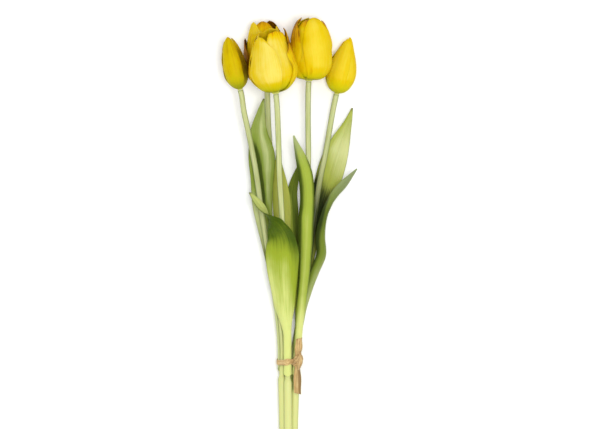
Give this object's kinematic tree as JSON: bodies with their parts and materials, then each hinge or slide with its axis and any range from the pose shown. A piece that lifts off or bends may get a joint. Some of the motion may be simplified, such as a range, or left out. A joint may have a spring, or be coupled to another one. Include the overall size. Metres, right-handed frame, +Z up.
{
  "type": "bunch of tulips",
  "caption": "Bunch of yellow tulips, open blooms and closed buds on long leafy stems, tied low down with raffia, lying on a surface.",
  "frame": {"origin": "under the middle of the bunch's box, on the surface it lies on", "axes": "+Y along the stems towards the heads, +Z up from the surface, +X to the right seen from above with the heads away"},
  "size_m": [0.1362, 0.4494, 0.0908],
  "materials": {
    "petal": "soft satin petals",
    "bud_petal": "satin, green at the base",
    "stem": "satin, pale green",
    "leaf": "waxy satin, finely lined along its length",
    "raffia": "dry wrinkled fibre",
    "stamen": "matte, powdery"
  },
  "bodies": {
    "root": {"stem_of_left_bud": "stem", "stem_of_back_bloom": "stem", "stem_of_front_bloom": "stem", "stem_of_right_bloom": "stem", "stem_of_right_bud": "stem", "leaf_of_left_bud": "leaf", "leaf_of_back_bloom": "leaf", "leaf_of_front_bloom": "leaf", "front_leaf_of_right_bloom": "leaf", "back_leaf_of_right_bloom": "leaf", "inner_leaf_of_right_bud": "leaf", "outer_leaf_of_right_bud": "leaf", "front_bloom": "petal", "back_bloom": "petal", "right_bloom": "petal", "front_pistil_and_stamens": "stamen", "back_pistil_and_stamens": "stamen", "right_pistil_and_stamens": "stamen", "left_bud": "bud_petal", "right_bud": "bud_petal", "raffia_tie": "raffia"}
  },
  "joints": []
}
